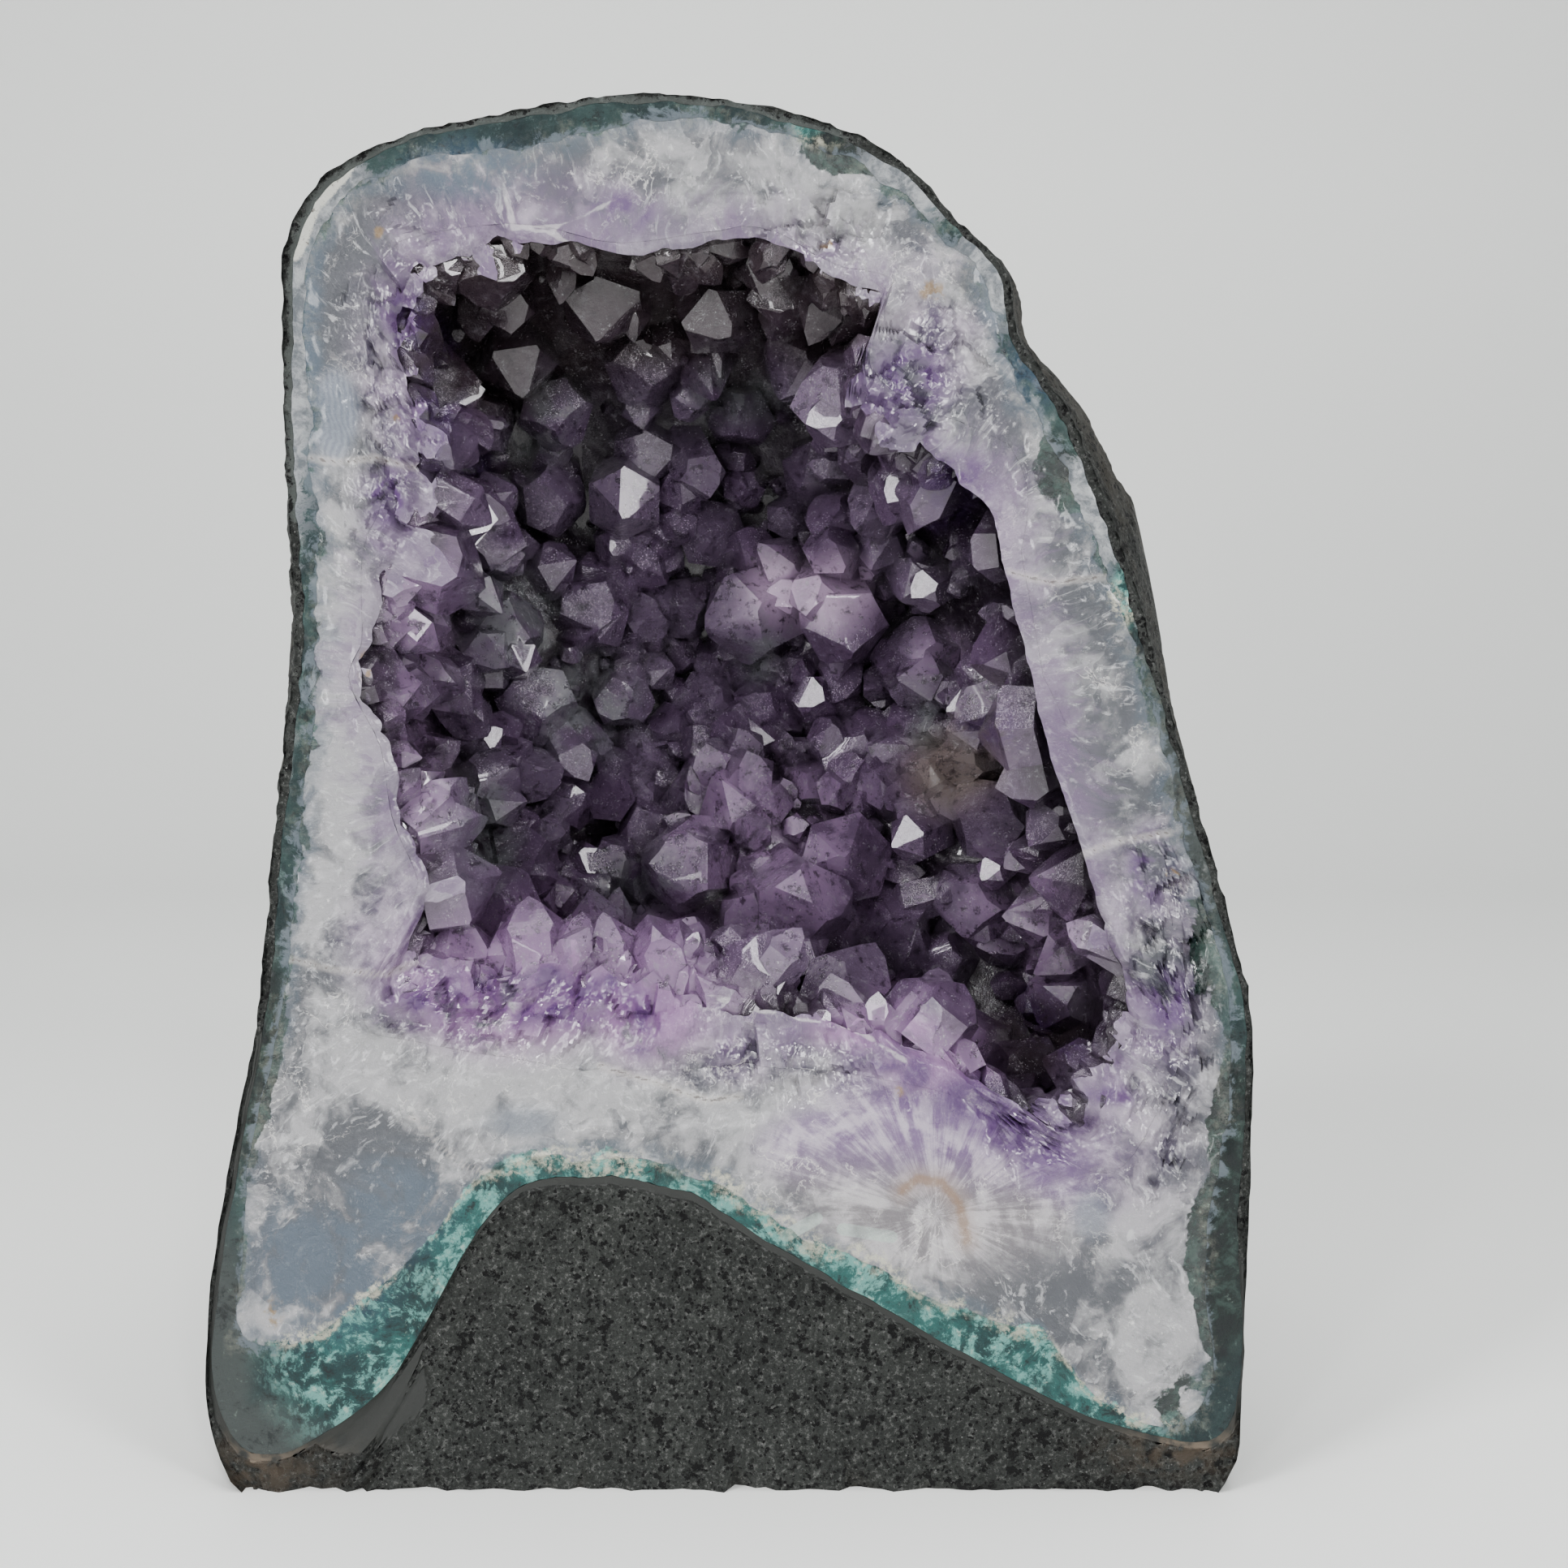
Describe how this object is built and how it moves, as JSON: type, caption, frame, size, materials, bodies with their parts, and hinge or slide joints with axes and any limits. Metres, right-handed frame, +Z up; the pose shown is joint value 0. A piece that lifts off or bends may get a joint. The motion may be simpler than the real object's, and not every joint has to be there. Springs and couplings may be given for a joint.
{
  "type": "amethyst cathedral geode",
  "caption": "Standing amethyst geode with a polished quartz rim, a crystal-lined hollow and a dark basalt foot, cut flat underneath so that it stands on its own.",
  "frame": {"origin": "on the floor under the middle of the bounding box", "axes": "+Z up, -Y towards the polished front, +X to the right as seen from the front"},
  "size_m": [0.2038, 0.1426, 0.2692],
  "materials": {
    "basalt": "rough, pitted",
    "green_rind": "polished at the front",
    "quartz": "polished, milky",
    "amethyst": "clear crystal faces"
  },
  "bodies": {
    "root": {"basalt_shell": "basalt", "green_rind": "green_rind", "quartz_wall": "quartz", "amethyst_crust": "amethyst"}
  },
  "joints": []
}
